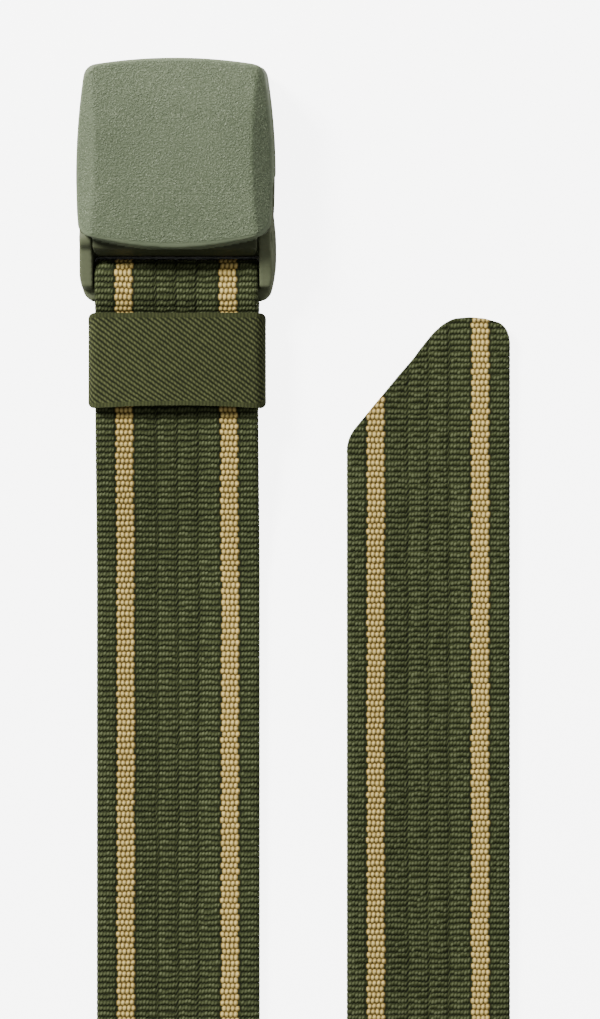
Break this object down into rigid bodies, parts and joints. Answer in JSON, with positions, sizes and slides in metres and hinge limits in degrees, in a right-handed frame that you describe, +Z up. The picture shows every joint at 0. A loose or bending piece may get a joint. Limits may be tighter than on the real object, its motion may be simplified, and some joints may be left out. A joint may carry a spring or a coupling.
{
  "type": "canvas web belt with cam-lever buckle",
  "caption": "Striped woven web belt lying flat, with a moulded cam-lever buckle at one end, an elastic keeper behind it and a slanted free tip.",
  "frame": {"origin": "middle of the buckle's flat back, on the surface that the belt lies on", "axes": "+Z up from the surface, +Y along the strap towards the buckle's mouth, +X from the buckle's run of webbing to the tip's run"},
  "size_m": [0.1002, 0.6205, 0.038],
  "materials": {
    "webbing": "ribbed olive weave with two tan stripes",
    "keeper": "olive elastic twill",
    "frame_plastic": "smooth moulded",
    "cover_plastic": "finely textured moulded"
  },
  "bodies": {
    "belt": {"webbing": "webbing", "keeper": "keeper", "buckle_frame": "frame_plastic"},
    "lever": {"buckle_lever": "cover_plastic"}
  },
  "joints": [
    {"name": "lever_hinge", "type": "hinge", "parent": "belt", "child": "lever", "pos_m": [0, -0.0129, 0.009], "axis": [1, 0, 0], "range_deg": [0, 70]}
  ]
}
